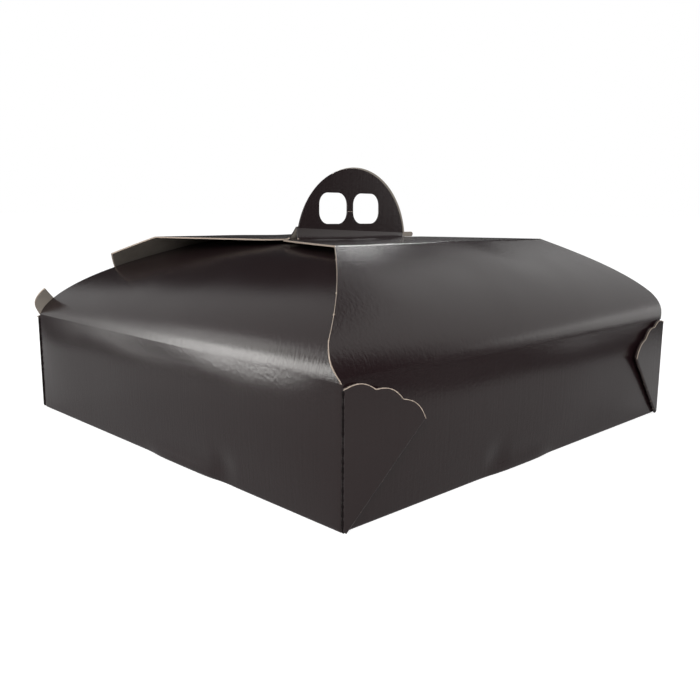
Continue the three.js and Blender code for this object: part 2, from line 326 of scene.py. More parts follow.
class NodeTree:
    """Lays out nodes and links in a node tree."""

    def __init__(self, tree: bpy.types.NodeTree) -> None:
        """Starts on a tree."""
        self.tree = tree

    def plug(self, node: Node, inputs: dict) -> None:
        """Sets a node's inputs, each given by name or index, to a value or an output socket."""
        for key, value in inputs.items():
            if isinstance(value, NodeSocket):
                self.tree.links.new(value, node.inputs[key])
            else:
                node.inputs[key].default_value = value

    def node(self, kind: str, inputs: dict | None = None, **settings: object) -> Node:
        """Adds a node.

        Args:
            kind: Node type.
            inputs: Input name or index to a value or an output socket.
            settings: Properties of the node, set before its inputs.

        Returns:
            The new node.
        """
        made = self.tree.nodes.new(kind)
        for key, value in settings.items():
            setattr(made, key, value)
        self.plug(made, inputs or {})
        return made

    def value(self, kind: str, inputs: dict | None = None, **settings: object) -> NodeSocket:
        """Adds a node and returns its first output."""
        return self.node(kind, inputs, **settings).outputs[0]

    def math(self, operation: str, *values: object) -> NodeSocket:
        """Adds a math node and returns its output."""
        return self.value("ShaderNodeMath", dict(enumerate(values)), operation=operation)

    def scaled(self, vector: NodeSocket, scale: object) -> NodeSocket:
        """A vector times a number."""
        return self.value("ShaderNodeVectorMath", {0: vector, "Scale": scale}, operation="SCALE")

    def mix(self, factor: NodeSocket, low: object, high: object, kind: str = "FLOAT") -> NodeSocket:
        """Mixes two numbers, vectors or colours.

        Args:
            factor: 0 for low and 1 for high.
            low: A value or a socket.
            high: A value or a socket.
            kind: FLOAT, VECTOR or RGBA.

        Returns:
            The mix.
        """
        first, output = {"FLOAT": (2, 0), "VECTOR": (4, 1), "RGBA": (6, 2)}[kind]
        inputs = {0: factor, first: low, first + 1: high}
        return self.node("ShaderNodeMix", inputs, data_type=kind).outputs[output]

    def fade(self, value: NodeSocket, near: float, far: float, at_near: float, at_far: float) -> NodeSocket:
        """Maps a value smoothly from one range to another."""
        inputs = {"Value": value, "From Min": near, "From Max": far, "To Min": at_near, "To Max": at_far}
        return self.value("ShaderNodeMapRange", inputs, interpolation_type="SMOOTHSTEP")

    def seen(self) -> NodeSocket:
        """1 for rays that the camera sees directly or through something clear, else 0."""
        path = self.node("ShaderNodeLightPath").outputs
        return self.math("MAXIMUM", path["Is Camera Ray"], path["Is Transmission Ray"])


class GeometryTree(NodeTree):
    """A geometry node tree with named inputs."""

    def __init__(self, name: str, sockets: dict[str, str]) -> None:
        """Starts the tree.

        Args:
            name: Name of the node group.
            sockets: Input name to kind of socket.
        """
        super().__init__(bpy.data.node_groups.new(name, "GeometryNodeTree"))
        self.identifiers: dict[str, str] = {}
        sides = self.tree.interface
        for label, kind in {"Geometry": "Geometry", **sockets}.items():
            item = sides.new_socket(label, in_out="INPUT", socket_type=f"NodeSocket{kind}")
            self.identifiers[label] = item.identifier
        sides.new_socket("Geometry", in_out="OUTPUT", socket_type="NodeSocketGeometry")
        self.group = self.node("NodeGroupInput").outputs

    def painted(self, shape: NodeSocket, material: NodeSocket, where: object = True) -> NodeSocket:
        """Gives the selected faces of a shape a material."""
        inputs = {"Geometry": shape, "Selection": where, "Material": material}
        return self.value("GeometryNodeSetMaterial", inputs)

    def realized(self, shape: NodeSocket) -> NodeSocket:
        """Makes instances real."""
        return self.value("GeometryNodeRealizeInstances", {"Geometry": shape})

    def end(self, shape: NodeSocket) -> None:
        """Ends the tree with its result."""
        self.node("NodeGroupOutput", {0: shape})

    def run(self, name: str, start: Object, values: dict[str, object]) -> Object:
        """Runs the tree on a helper object, which it deletes, and keeps the result as a plain mesh.

        Args:
            name: Name of the finished piece.
            start: Object whose mesh the tree starts from.
            values: Input name to value.

        Returns:
            The finished piece, at the origin.
        """
        modifier = start.modifiers.new("build", "NODES")
        modifier.node_group = self.tree
        for key, value in values.items():
            modifier[self.identifiers[key]] = value
        mesh = evaluated_mesh(start)
        mesh.name = name
        remove_helper(start)
        return add_object(name, mesh)


class RuledBoardTree(GeometryTree):
    """Geometry nodes that stretch a sheet of board between two rails and give it its thickness."""

    weld_distance: float = 1e-6
    sharp_angle: float = 0.6

    def __init__(self) -> None:
        """Builds the tree: grid, rails, belly and flutter, thickness, materials."""
        super().__init__("ruled_board", {
            **dict.fromkeys(("First Rail", "Second Rail"), "Object"),
            **dict.fromkeys(("Rows", "Columns"), "Int"),
            **dict.fromkeys(("Board", "Belly", "Flutter"), "Float"),
            **dict.fromkeys(("Outside", "Inside", "Cut"), "Material"),
        })
        rows, columns = self.group["Rows"], self.group["Columns"]
        size = {"Size X": 1.0, "Size Y": 1.0, "Vertices X": columns, "Vertices Y": rows}
        grid = self.value("GeometryNodeMeshGrid", size)
        index = self.value("GeometryNodeInputIndex")
        column = self.math("FLOOR", self.math("DIVIDE", self.math("ADD", index, 0.5), rows))
        row = self.math("SUBTRACT", index, self.math("MULTIPLY", column, rows))
        across = self.math("DIVIDE", column, self.math("SUBTRACT", columns, 1.0))
        along = self.math("DIVIDE", row, self.math("SUBTRACT", rows, 1.0))
        whole_row = self.value("FunctionNodeFloatToInt", {0: row}, rounding_mode="ROUND")
        position = self.value("GeometryNodeInputPosition")
        ends = self._rail_values(whole_row, position, "FLOAT_VECTOR")
        between = self.mix(across, *ends, kind="VECTOR")
        ruled = self.value("GeometryNodeSetPosition", {"Geometry": grid, "Position": between})
        offset = self.scaled(self.value("GeometryNodeInputNormal"), self._push(across, along, between))
        swelled = self.value("GeometryNodeSetPosition", {"Geometry": ruled, "Offset": offset})
        wear = self.value("GeometryNodeInputNamedAttribute", {"Name": "wear"}, data_type="FLOAT")
        worn = self.mix(across, *self._rail_values(whole_row, wear, "FLOAT"))
        kept = {"Geometry": swelled, "Name": "wear", "Value": worn}
        self._thicken(self.value("GeometryNodeStoreNamedAttribute", kept, data_type="FLOAT", domain="POINT"))

    def _rail_values(self, row: NodeSocket, field: NodeSocket, kind: str) -> list[NodeSocket]:
        """Reads a field on both rails.

        Args:
            row: Row index.
            field: The field.
            kind: FLOAT or FLOAT_VECTOR.

        Returns:
            The value on the first and on the second rail.
        """
        found = []
        for rail in ("First Rail", "Second Rail"):
            line = self.node("GeometryNodeObjectInfo", {"Object": self.group[rail]}).outputs["Geometry"]
            inputs = {"Geometry": line, "Value": field, "Index": row}
            found.append(self.value("GeometryNodeSampleIndex", inputs, data_type=kind, domain="POINT"))
        return found

    def _push(self, across: NodeSocket, along: NodeSocket, place: NodeSocket) -> NodeSocket:
        """How far the sheet swells and waves off its ruled shape.

        Args:
            across: Share of the way from rail to rail.
            along: Share of the way along the rails.
            place: Position on the ruled shape.

        Returns:
            The push along the normal, in metres.
        """
        arches = [self.math("SINE", self.math("MULTIPLY", share, math.pi)) for share in (across, along)]
        arch = self.math("MULTIPLY", *arches)
        texture = {"Vector": place, "Scale": 14.0, "Detail": 1.0, "Roughness": 0.4}
        waves = self.value("ShaderNodeTexNoise", texture, noise_dimensions="3D")
        sway = self.math("MULTIPLY", self.math("SUBTRACT", waves, 0.5), self.math("MULTIPLY", 2.0, arch))
        swell = self.math("MULTIPLY", arch, self.group["Belly"])
        return self.math("ADD", swell, self.math("MULTIPLY", sway, self.group["Flutter"]))

    def _thicken(self, skin: NodeSocket) -> None:
        """Gives the skin its thickness and its three materials, and ends the tree.

        Args:
            skin: The outer skin of the board.
        """
        flipped = self.value("GeometryNodeFlipFaces", {"Mesh": skin})
        inward = {"Mesh": flipped, "Offset Scale": self.group["Board"], "Individual": False}
        shape, top, rim = self.node("GeometryNodeExtrudeMesh", inward, mode="FACES").outputs
        cut = self.painted(self.painted(shape, self.group["Inside"], top), self.group["Cut"], rim)
        outside = self.painted(skin, self.group["Outside"])
        joined = self.node("GeometryNodeJoinGeometry", {0: cut})
        self.plug(joined, {0: outside})
        weld = {"Geometry": joined.outputs[0], "Distance": self.weld_distance}
        smooth = {"Geometry": self.value("GeometryNodeMergeByDistance", weld), "Shade Smooth": True}
        rounded = self.value("GeometryNodeSetShadeSmooth", smooth, domain="FACE")
        sharp = self.math("GREATER_THAN", self.value("GeometryNodeInputMeshEdgeAngle"), self.sharp_angle)
        edges = {"Geometry": rounded, "Selection": sharp, "Shade Smooth": False}
        self.end(self.realized(self.value("GeometryNodeSetShadeSmooth", edges, domain="EDGE")))


class RepeatedMarkTree(GeometryTree):
    """Geometry nodes that set small marks at a pitch along a line, such as nicks or perforations."""

    jitter: float = 0.35
    seed: int = 7

    def __init__(self) -> None:
        """Builds the tree: resampled line, marks of uneven size, one material."""
        sizes = {"Pitch": "Float", "Mark Length": "Float", "Mark Width": "Float"}
        super().__init__("repeated_marks", {**sizes, "Finish": "Material"})
        line = self.value("GeometryNodeMeshToCurve", {"Mesh": self.group["Geometry"]})
        steps = {"Curve": line, "Length": self.group["Pitch"]}
        places = self.node("GeometryNodeCurveToPoints", steps, mode="LENGTH").outputs
        ball = self.value("GeometryNodeMeshIcoSphere", {"Radius": 0.5, "Subdivisions": 2})
        draw = {2: 0.0, 3: 1.0, "Seed": self.seed}
        spread = self.node("FunctionNodeRandomValue", draw, data_type="FLOAT").outputs[1]
        size = self.math("SUBTRACT", 1.0, self.math("MULTIPLY", spread, self.jitter))
        width = self.group["Mark Width"]
        shape = self.value("ShaderNodeCombineXYZ", {0: width, 1: width, 2: self.group["Mark Length"]})
        setting = {"Points": places["Points"], "Rotation": places["Rotation"]}
        setting.update({"Instance": ball, "Scale": self.scaled(shape, size)})
        real = self.realized(self.value("GeometryNodeInstanceOnPoints", setting))
        smooth = self.value("GeometryNodeSetShadeSmooth", {"Geometry": real, "Shade Smooth": True})
        self.end(self.painted(smooth, self.group["Finish"]))


class MaterialTree(NodeTree):
    """The nodes of one material, round its Principled shader, with patterns on Object coordinates."""

    def __init__(self, name: str) -> None:
        """Starts the material.

        Args:
            name: Name of the material.
        """
        self.material = bpy.data.materials.new(name)
        self.material.use_nodes = True
        super().__init__(self.material.node_tree)
        self.place = self.node("ShaderNodeTexCoord").outputs["Object"]

    def noise(self, scale: float, detail: float, place: NodeSocket | None = None) -> NodeSocket:
        """A noise pattern, on Object coordinates where no other place is given."""
        inputs = {"Vector": self.place if place is None else place, "Scale": scale, "Detail": detail}
        return self.value("ShaderNodeTexNoise", inputs)

    def colours(self, factor: NodeSocket, low: Triple | NodeSocket, high: Triple) -> NodeSocket:
        """Mixes two colours, of which the low one may be a socket."""
        first = low if isinstance(low, NodeSocket) else (*low, 1.0)
        return self.mix(factor, first, (*high, 1.0), kind="RGBA")

    def bump(self, height: NodeSocket, strength: float, distance: float, **below: NodeSocket) -> NodeSocket:
        """A bumped normal, on top of another one where Normal is given."""
        inputs = {"Height": height, "Strength": strength, "Distance": distance, **below}
        return self.value("ShaderNodeBump", inputs)

    def shade(self, inputs: dict) -> Material:
        """Sets the shader's inputs and returns the material."""
        self.plug(self.tree.nodes["Principled BSDF"], inputs)
        return self.material


@dataclass(frozen=True)
class LaminateFinish:
    """Glossy film on dark brown print, with faint waviness, hairlines and worn folds."""

    brown: Triple = (0.0120, 0.0058, 0.0066)
    warm_brown: Triple = (0.0135, 0.0066, 0.0078)
    worn: Triple = (0.36, 0.29, 0.23)
    worn_from: float = 0.47
    worn_to: float = 0.62
    gloss_low: float = 0.19
    gloss_high: float = 0.27
    film_tint: Triple = (0.985, 0.975, 0.925)
    hairline_turn: Triple = (35.0, -35.0, 20.0)
    hairline_scale: Triple = (900.0, 900.0, 22.0)

    def material(self, name: str) -> Material:
        """Builds the material."""
        tree = MaterialTree(name)
        brown = tree.colours(tree.noise(scale=9.0, detail=2.0), self.brown, self.warm_brown)
        wear = tree.node("ShaderNodeAttribute", attribute_name="wear").outputs["Fac"]
        chips = tree.math("MULTIPLY", wear, tree.noise(scale=900.0, detail=4.0))
        limits = {"Value": chips, "From Min": self.worn_from, "From Max": self.worn_to}
        colour = tree.colours(tree.value("ShaderNodeMapRange", limits), brown, self.worn)
        cloud = tree.noise(scale=38.0, detail=3.0)
        gloss = {"Value": cloud, "To Min": self.gloss_low, "To Max": self.gloss_high}
        turned = tuple(math.radians(angle) for angle in self.hairline_turn)
        drawn_out = {"Vector": tree.place, "Rotation": turned, "Scale": self.hairline_scale}
        hairlines = tree.noise(scale=1.0, detail=2.0, place=tree.value("ShaderNodeMapping", drawn_out))
        fibres = tree.bump(tree.noise(scale=620.0, detail=3.0), strength=0.13, distance=0.0004)
        return tree.shade({
            "Base Color": colour,
            "Roughness": tree.value("ShaderNodeMapRange", gloss),
            "Normal": tree.bump(hairlines, strength=0.2, distance=0.0003, Normal=fibres),
            "IOR": 1.5,
            "Specular Tint": (*self.film_tint, 1.0),
        })


@dataclass(frozen=True)
class FibreFinish:
    """Bare fibres in two shades: scale and detail of mottle and fibres, strength and depth of relief."""

    light: Triple
    dark: Triple
    mottle: Pair = (700.0, 3.0)
    fibres: Pair = (700.0, 3.0)
    relief: Pair = (0.4, 0.0004)
    roughness: float = 0.9
    specular: float = 0.5

    def material(self, name: str) -> Material:
        """Builds the material."""
        tree = MaterialTree(name)
        return tree.shade({
            "Base Color": tree.colours(tree.noise(*self.mottle), self.dark, self.light),
            "Normal": tree.bump(tree.noise(*self.fibres), *self.relief),
            "Roughness": self.roughness,
            "Specular IOR Level": self.specular,
        })


BARE_BOARD = FibreFinish(
    (0.285, 0.25, 0.215), (0.215, 0.188, 0.160),
    mottle=(160.0, 5.0), fibres=(1400.0, 4.0), relief=(0.25, 0.0005), roughness=0.82,
)
CUT_EDGE = FibreFinish((0.52, 0.43, 0.36), (0.34, 0.27, 0.21))
# A paler copy of the cut edge for the rear grip's rim: a painted highlight for the light that catches that
# edge.
GRIP_RIM_PAINTED_HIGHLIGHT = FibreFinish((0.88, 0.83, 0.75), (0.74, 0.68, 0.59))
PERFORATION = FibreFinish(
    (0.009, 0.006, 0.006), (0.003, 0.002, 0.002),
    mottle=(500.0, 2.0), relief=(0.0, 0.0004), roughness=0.7, specular=0.08,
)


@dataclass(frozen=True)
class MarkStyle:
    """Pitch, length and width of small marks along a line, in millimetres."""

    pitch: float
    length: float
    width: float


RIM_MARKS = MarkStyle(0.8, 2.2, 0.5)
SCORE_MARKS = MarkStyle(1.3, 2.8, 1.9)
NICK_MARKS = MarkStyle(15.5, 1.3, 0.9)
CREASE_MARKS = MarkStyle(0.45, 1.1, 0.24)


@dataclass
class BoardShop:
    """Holds the board's finishes and the two trees, and cuts every sheet of the box."""

    outside: Material
    inside: Material
    cut: Material
    perforation: Material
    # Finish of the rear grip's rim, paler than the cut edge as a painted highlight.
    grip_rim_painted_highlight: Material
    board_tree: RuledBoardTree
    mark_tree: RepeatedMarkTree

    @property
    def board_looks(self) -> tuple[Material, Material, Material]:
        """The materials in the order of Face."""
        return self.outside, self.inside, self.cut

    def sheet(
        self, name: str, rails: tuple[Rail, Rail], columns: int, belly: float = 0.0, flutter: float = 0.0
    ) -> Object:
        """Stretches a sheet of board between two rails.

        Args:
            name: Name of the piece.
            rails: The two rails, with as many points each.
            columns: Number of points across.
            belly: Outward swell in the middle, in millimetres.
            flutter: Height of the sheet's uneven waves, in millimetres.

        Returns:
            The sheet as a plain mesh.
        """
        first, second = rails[0].mesh("first_rail"), rails[1].mesh("second_rail")
        values = {
            "First Rail": first,
            "Second Rail": second,
            "Rows": len(rails[0].points),
            "Columns": columns,
            "Board": SIZES.board * MM,
            "Belly": belly * MM,
            "Flutter": flutter * MM,
            "Outside": self.outside,
            "Inside": self.inside,
            "Cut": self.cut,
        }
        piece = self.board_tree.run(name, mesh_object("blank", [], [], []), values)
        remove_helper(first)
        remove_helper(second)
        self._order_slots(piece.data)
        return piece

    def _order_slots(self, mesh: Mesh) -> None:
        """Puts the three board materials in the order of Face."""
        wanted = self.board_looks
        old = [material.name if material else "" for material in mesh.materials]
        by_name = {material.name: i for i, material in enumerate(wanted)}
        indices = [by_name.get(old[polygon.material_index], 0) for polygon in mesh.polygons]
        set_materials(mesh, *wanted)
        mesh.polygons.foreach_set("material_index", indices)

    def marks(self, name: str, lines: list[list[Vector]], style: MarkStyle, finish: Material) -> Object:
        """Sets small marks along lines.

        Args:
            name: Name of the piece.
            lines: Lines, each a list of points in millimetres.
            style: Pitch and size of the marks.
            finish: Material of the marks.

        Returns:
            The marks as one mesh.
        """
        values = {
            "Pitch": style.pitch * MM,
            "Mark Length": style.length * MM,
            "Mark Width": style.width * MM,
            "Finish": finish,
        }
        return self.mark_tree.run(name, line_object("mark_lines", lines), values)


@dataclass(frozen=True)
class Station:
    """A line across the carry flap: depth, height, half-width, tilt and wear of the outer face."""

    depth: float
    height: float
    half_width: float
    tilt: float
    wear: float

    def values(self) -> tuple[float, ...]:
        """The five numbers in order."""
        return self.depth, self.height, self.half_width, self.tilt, self.wear

    def toward(self, other: "Station", distance: float) -> "Station":
        """The station moved towards another one, by a distance in depth and height."""
        gap = math.hypot(other.depth - self.depth, other.height - self.height)
        share = min(distance / gap, 0.9)
        return Station(*(a + share * (b - a) for a, b in zip(self.values(), other.values())))


@dataclass
class CarryFlap:
    """A curved carry flap with its top panel and grip plate, on the front or the rear wall."""

    shop: BoardShop
    side: int
    rows: int = 60
    panel_rows: int = 36
    neck_rows: int = 12
    bow_rows: int = 10
    columns: int = 60
    fold_round: float = 1.1
    round_rows: int = 5
    crease_wear: float = 0.35
    crease_reach: float = 1.4
    neck_wear: float = 0.4
    neck_reach: float = 1.2
    rim_rise: float = 0.6

    def __post_init__(self) -> None:
        """Works out the flap's profile."""
        s = SIZES
        self.arc = carry_profile(self.rows)
        self.crease_inset = self.arc[-1].inset
        self.crease_height = s.fold_height + self.arc[-1].rise
        self.panel_run = s.half - self.crease_inset - s.grip_clearance - s.board / 2
        self.shoulder_run = self.panel_run - s.neck_depth
        self.round_start = self.shoulder_run - s.shoulder_round

    @staticmethod
    def half_width(run: float) -> float:
        """Half-width of the curved panel at a run up from the fold."""
        s = SIZES
        if run < s.ear_peak:
            return s.half + s.ear_reach * math.sin(math.pi * (run / s.ear_peak / 2))
        if run <= s.ear_length:
            share = 0.5 + (run - s.ear_peak) / (s.ear_length - s.ear_peak) / 2
            return s.half + s.ear_reach * math.sin(math.pi * share)
        share = (run - s.ear_length) / (s.carry_length - s.ear_length)
        hollow = s.diagonal_hollow * math.sin(math.pi * share)
        return s.half - hollow - share * (s.half - s.crease_half_width)

    def panel_half_width(self, run: float) -> float:
        """Half-width of the flat top panel at a run from the crease."""
        s = SIZES
        if run <= self.round_start:
            middle = (s.crease_half_width + s.shoulder_half_width) / 2 + s.shoulder_bow
            return soft_curve(s.crease_half_width, middle, s.shoulder_half_width, run / self.round_start)
        turned = min((run - self.round_start) / s.shoulder_round, 1.0)
        step = s.shoulder_half_width - s.neck_half_width
        return s.neck_half_width + step * math.sqrt(1 - turned * turned)

    def stations(self) -> list[Station]:
        """The stations from the fold to the grip, with the top crease rounded."""
        s = SIZES
        found = []
        for point in self.arc:
            wear = self.crease_wear * wear_near(s.carry_length - point.run, self.crease_reach)
            height = s.fold_height + point.rise if point.run else s.wall + s.fold_seat
            found.append(Station(-s.half + point.inset, height, self.half_width(point.run), 0.0, wear))
        start = -s.half + self.crease_inset
        runs = [self.round_start * i / self.panel_rows for i in range(1, self.panel_rows + 1)]
        quarter = [math.sin(math.pi / 2 * i / self.neck_rows) for i in range(1, self.neck_rows + 1)]
        runs += [self.round_start + s.shoulder_round * share for share in quarter]
        for run in runs:
            wear = self.crease_wear * wear_near(run, self.crease_reach)
            found.append(Station(start + run, self.crease_height, self.panel_half_width(run), 0.0, wear))
        for i in range(1, self.neck_rows + 1):
            share = i / self.neck_rows
            depth = start + self.shoulder_run + s.neck_depth * share
            height = self.crease_height + s.neck_rise * share**2
            wear = self.neck_wear * wear_near(s.neck_depth * (1 - share), self.neck_reach)
            found.append(Station(depth, height, s.neck_half_width, s.grip_slope * share**2, wear))
        return self._round_crease(found)

    def _round_crease(self, found: list[Station]) -> list[Station]:
        """Replaces the sharp crease station by a short round.

        Args:
            found: The stations.

        Returns:
            The stations with the crease rounded.
        """
        at = self.rows
        here = found[at]
        start, end = (here.toward(found[at + step], self.fold_round) for step in (-1, 1))
        trios = list(zip(start.values(), here.values(), end.values()))
        shares = [i / self.round_rows for i in range(self.round_rows + 1)]
        rounded = [Station(*(soft_curve(*trio, share) for trio in trios)) for share in shares]
        return found[:at] + rounded + found[at + 1:]

    def rails(self) -> tuple[Rail, Rail]:
        """The two side edges of the folded board, in the order that turns its outside out."""
        left, right = Rail(), Rail()
        for station in self.stations():
            shift = SIZES.grip_shift * station.tilt / SIZES.grip_slope
            for rail, sign in ((left, -1), (right, 1)):
                x, z = shift + sign * station.half_width, station.height - sign * station.tilt
                rail.add(Vector((x, station.depth * self.side, z)), station.wear)
        return (left, right)[::self.side]

    def grip(self) -> Object:
        """The grip plate, cut from a flat outline with its two finger holes."""
        s = SIZES
        outline = GripOutline(self.crease_height + s.neck_rise - s.board)
        rim = Face.OUTSIDE
        if self.side < 0:
            extras = (s.rear_grip_swell, s.rear_grip_shift, s.rear_hole_swell, s.rear_hole_shift, True)
            outline = GripOutline(outline.foot, *extras)
            # The rear plate's rim takes the third slot, the paler finish painted as a highlight.
            rim = Face.CUT
        plate = outline.plate(self.shop)
        front_y = -s.grip_clearance - s.board / 2
        upright = Matrix.Rotation(math.pi / 2, 4, "X")
        plate.data.transform(Matrix.Translation((0, front_y * self.side * MM, 0)) @ upright)
        _paint_by_direction(plate.data, Vector((0, -self.side, 0)), rim)
        return plate

    def build(self) -> Object:
        """Builds the whole flap.

        Returns:
            The finished piece.
        """
        board = self.shop.sheet("carry_board", self.rails(), self.columns, flutter=SIZES.carry_flutter)
        paint_over_cut(board.data, (self.crease_height + self.rim_rise) * MM)
        if self.side < 0:
            self._cut_side_edges(board)
        return join_pieces("front_carry_flap" if self.side > 0 else "rear_carry_flap", [board, self.grip()])

    def _cut_side_edges(self, board: Object) -> None:
        """Cuts the rear flap's side edges back between their ears.

        Args:
            board: The board that is cut.
        """
        s = SIZES
        reach = 2 * s.ear_reach + s.cut_ear_root
        base = s.fold_height
        outline = [
            (-reach, base + s.cut_ear_height + reach),
            (s.cut_ear_tip, base + s.cut_ear_height),
            (s.cut_ear_root, base + s.cut_root_rise),
        ]
        bow_inset = (s.cut_ear_root + s.cut_inset) / 2 + s.cut_bow_inset
        bow_height = base + (s.cut_root_rise + s.cut_rise) / 2 + s.cut_bow_rise
        for i in range(1, self.bow_rows + 1):
            t = i / self.bow_rows
            x = soft_curve(s.cut_ear_root, bow_inset, s.cut_inset, t)
            outline.append((x, soft_curve(base + s.cut_root_rise, bow_height, base + s.cut_rise, t)))
        outline.append((s.cut_top_inset, base + s.cut_top_rise))
        outline.append((s.cut_top_inset - reach, base + s.cut_top_rise + reach))
        for sign in (-1, 1):
            mirrored = [(sign * (s.half - x), z) for x, z in outline]
            self._subtract(board, _prism(mirrored, near=2.0, far=s.half + 20, finish=self.shop.cut))

    @staticmethod
    def _subtract(board: Object, punch: Object) -> None:
        """Takes a punch away from the board and removes the punch."""
        cutter = board.modifiers.new("punch", "BOOLEAN")
        cutter.operation = "DIFFERENCE"
        cutter.solver = "EXACT"
        cutter.material_mode = "TRANSFER"
        cutter.object = punch
        mesh = evaluated_mesh(board)
        board.modifiers.remove(cutter)
        board.data = mesh
        remove_helper(punch)

    def bar_crease(self) -> list[Vector]:
        """The short crease across the bar between the finger holes, just proud of its face."""
        s = SIZES
        margin, sunk, steps = 0.2, 0.02, 4
        y = -self.side * (s.grip_clearance + s.board - sunk)
        half_bar = (s.hole_pitch - s.hole_width) / 2 - margin
        places = [s.hole_shift + half_bar * (i / steps - 1) for i in range(2 * steps + 1)]
        return [Vector((x, y, s.bar_crease_height)) for x in places]

    def nick_lines(self) -> list[list[Vector]]:
        """Lines along the middle of the two cut side edges of the curved panel."""
        sunk, middle, skipped = 0.05, 0.35, 2
        lines: list[list[Vector]] = [[], []]
        for point in self.arc[skipped:]:
            y = (-SIZES.half + point.inset + middle * math.cos(point.lean)) * self.side
            z = SIZES.fold_height + point.rise - middle * math.sin(point.lean)
            for line, sign in zip(lines, (-1, 1)):
                line.append(Vector((sign * (self.half_width(point.run) - sunk), y, z)))
        return lines


def _prism(outline: list[Pair], near: float, far: float, finish: Material) -> Object:
    """A straight punch along Y from an outline in X and Z.

    Args:
        outline: Corner points in millimetres.
        near: Lowest Y.
        far: Highest Y.
        finish: Material of its walls.

    Returns:
        The punch.
    """
    count = len(outline)
    points = [Vector((x, y, z)) for y in (near, far) for x, z in outline]
    faces = [tuple(range(count)), tuple(range(2 * count - 1, count - 1, -1))]
    faces += [((i + 1) % count, i, i + count, (i + 1) % count + count) for i in range(count)]
    punch = mesh_object("punch", points, [], faces)
    set_materials(punch.data, finish)
    work = bmesh.new()
    work.from_mesh(punch.data)
    bmesh.ops.recalc_face_normals(work, faces=work.faces)
    work.to_mesh(punch.data)
    work.free()
    return punch


def _paint_by_direction(data: Mesh, outward: Vector, rim: Face) -> None:
    """Gives a flat plate its outside and inside by where its faces point, and its rim the look given."""
    flat = 0.6
    for polygon in data.polygons:
        facing = polygon.normal.dot(outward)
        polygon.material_index = rim
        if abs(facing) > flat:
            polygon.material_index = Face.OUTSIDE if facing > 0 else Face.INSIDE


@dataclass
class GripOutline:
    """The grip plate's outline: a circular segment with two finger holes and, at the rear, an ear."""

    foot: float
    swell: float = 0.0
    shift: float = 0.0
    hole_swell: float = 0.0
    hole_offset: float = 0.0
    lock_ear: bool = False
    arc_steps: int = 36
    ear_steps: int = 12
    corner_steps: int = 9
    rim: float = 0.12

    def outer(self) -> list[Pair]:
        """Points of the outer edge, counter-clockwise."""
        s = SIZES
        rise = s.grip_height + self.swell
        radius = (s.neck_half_width**2 + rise**2) / (2 * rise)
        centre = self.foot + rise - radius
        middle = s.grip_shift + self.shift
        low, high = self.foot - s.grip_slope, self.foot + s.grip_slope
        start = math.asin((low - centre) / radius)
        end = math.pi - math.asin((high - centre) / radius)
        points = []
        if self.lock_ear:
            ear_top = low + s.board
            right = middle + radius * math.cos(start)
            points.append((right - s.lock_ear_length, ear_top - s.lock_ear_height))
            end_round = s.lock_ear_height / 2
            tip = (right + s.lock_ear_length - end_round, ear_top - end_round)
            points += arc_points(*tip, end_round, -math.pi / 2, math.pi / 2, self.ear_steps)
            start = math.asin((ear_top - centre) / radius)
        nick = math.radians(s.nick_angle)
        half_nick = s.nick_depth / radius
        for first, last in ((start, nick - half_nick), (nick + half_nick, end)):
            points += arc_points(middle, centre, radius, first, last, self.arc_steps)
            if last < nick:
                depth = radius - s.nick_depth
                points.append((middle + depth * math.cos(nick), centre + depth * math.sin(nick)))
        return points

    def holes(self) -> list[list[Pair]]:
        """Points of the two finger holes."""
        s = SIZES
        corner = s.hole_corner + self.hole_swell
        across = s.hole_width / 2 + self.hole_swell - corner
        up = s.hole_height / 2 + self.hole_swell - corner
        level = self.foot + s.hole_lift
        found = []
        for side in (-1, 1):
            centre = s.hole_shift + self.hole_offset + side * s.hole_pitch / 2
            hole = []
            for quarter, (right, above) in enumerate(((1, 1), (-1, 1), (-1, -1), (1, -1))):
                x, z = centre + right * across, level + above * up
                start, end = math.pi / 2 * quarter, math.pi / 2 * (quarter + 1)
                hole += arc_points(x, z, corner, start, end, self.corner_steps)
            found.append(hole)
        return found

    def plate(self, shop: BoardShop) -> Object:
        """Makes the plate from the outline as a filled, softly rounded sheet in the X-Y plane.

        Args:
            shop: Holds the finishes.

        Returns:
            The plate as a mesh.
        """
        curve = bpy.data.curves.new("grip_plate", "CURVE")
        curve.dimensions = "2D"
        curve.fill_mode = "BOTH"
        curve.extrude = (SIZES.board / 2 - self.rim) * MM
        curve.bevel_depth = self.rim * MM
        curve.bevel_resolution = 1
        curve.offset = -self.rim * MM
        for loop in (self.outer(), *self.holes()):
            spline = curve.splines.new("POLY")
            spline.points.add(len(loop) - 1)
            for point, (x, z) in zip(spline.points, loop):
                point.co = (x * MM, z * MM, 0, 1)
            spline.use_cyclic_u = True
        helper = add_object("grip_plate", curve)
        mesh = evaluated_mesh(helper)
        bpy.data.objects.remove(helper)
        bpy.data.curves.remove(curve)
        # The third slot is the rim's paler finish, a painted highlight, used where the rear plate's rim takes
        # it.
        set_materials(mesh, shop.outside, shop.inside, shop.grip_rim_painted_highlight)
        return add_object("grip_plate", mesh)


